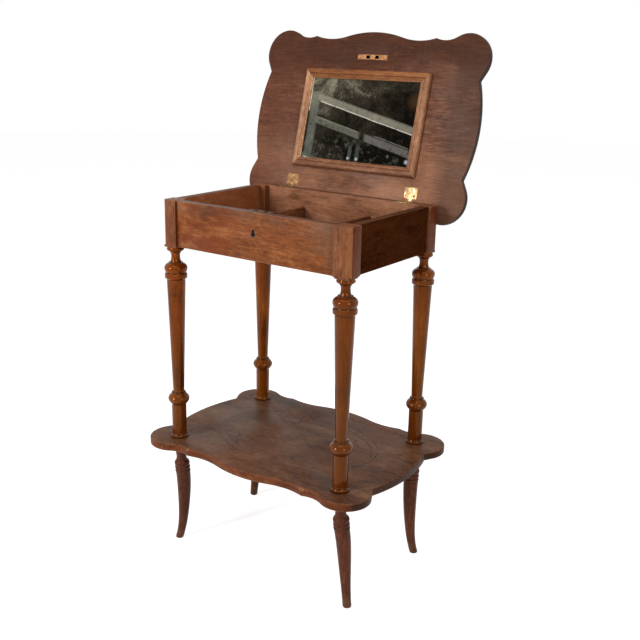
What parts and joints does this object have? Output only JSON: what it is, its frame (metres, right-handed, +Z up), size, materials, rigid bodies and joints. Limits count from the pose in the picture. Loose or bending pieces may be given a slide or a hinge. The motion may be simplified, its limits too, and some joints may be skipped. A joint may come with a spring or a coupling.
{
  "type": "lift-top dressing table",
  "caption": "Small dressing table on turned legs and sabre feet, with a shaped shelf and a shaped lift-up lid that carries a framed mirror.",
  "frame": {"origin": "on the floor, midway between the four feet", "axes": "+Z up, +X along the front to the right, +Y to the back"},
  "size_m": [0.512, 0.431, 1.017],
  "materials": {
    "leg_wood": "glossy varnish",
    "case_wood": "worn satin varnish",
    "inner_wood": "dull",
    "shelf_wood": "dull, worn",
    "foot_wood": "satin",
    "lid_wood": "satin",
    "frame_wood": "satin",
    "hinge_brass": "worn",
    "strike_brass": "dull",
    "lock_brass": "tarnished",
    "steel": "aged",
    "screw_steel": "dark",
    "old_mirror": "foxed",
    "card": "matt card"
  },
  "bodies": {
    "case": {"front_left_leg": "leg_wood", "front_right_leg": "leg_wood", "back_left_leg": "leg_wood", "back_right_leg": "leg_wood", "front_apron": "case_wood", "back_apron": "case_wood", "left_apron": "case_wood", "right_apron": "case_wood", "keyhole_escutcheon": "strike_brass", "case_bottom": "inner_wood", "left_partition": "inner_wood", "right_partition": "inner_wood", "shelf": "shelf_wood", "front_left_foot": "foot_wood", "front_right_foot": "foot_wood", "back_left_foot": "foot_wood", "back_right_foot": "foot_wood", "left_hinge_case_leaf": "hinge_brass", "right_hinge_case_leaf": "hinge_brass", "left_hinge_pin": "steel", "right_hinge_pin": "steel", "case_hinge_screws": "screw_steel", "lock_case": "lock_brass", "lock_screws": "screw_steel", "claw_pivot_pin": "steel", "key_drill_pin": "steel"},
    "lid": {"lid_board": "lid_wood", "strike_plate": "strike_brass", "left_hinge_lid_leaf": "hinge_brass", "right_hinge_lid_leaf": "hinge_brass", "lid_hinge_screws": "screw_steel", "strike_screws": "screw_steel", "mirror_frame_bottom": "frame_wood", "mirror_frame_top": "frame_wood", "mirror_frame_left": "frame_wood", "mirror_frame_right": "frame_wood", "mirror_backing_card": "card", "mirror_glass": "old_mirror", "mirror_frame_brads": "screw_steel"},
    "right_claw": {"right_claw": "steel"},
    "left_claw": {"left_claw": "steel"}
  },
  "joints": [
    {"name": "lid_hinge", "type": "hinge", "parent": "case", "child": "lid", "pos_m": [0, 0.1513, 0.7045], "axis": [1, 0, 0], "range_deg": [0, 104.3]},
    {"name": "right_claw_swing", "type": "hinge", "parent": "case", "child": "right_claw", "pos_m": [0.004, -0.1231, 0.7013], "axis": [0, -1, 0], "range_deg": [0, 45]},
    {"name": "left_claw_swing", "type": "hinge", "parent": "case", "child": "left_claw", "pos_m": [0.004, -0.1231, 0.7013], "axis": [0, -1, 0], "range_deg": [-45, 0]}
  ],
  "couplings": [
    {"joint": "left_claw_swing", "follows": "right_claw_swing", "ratio": -1}
  ]
}
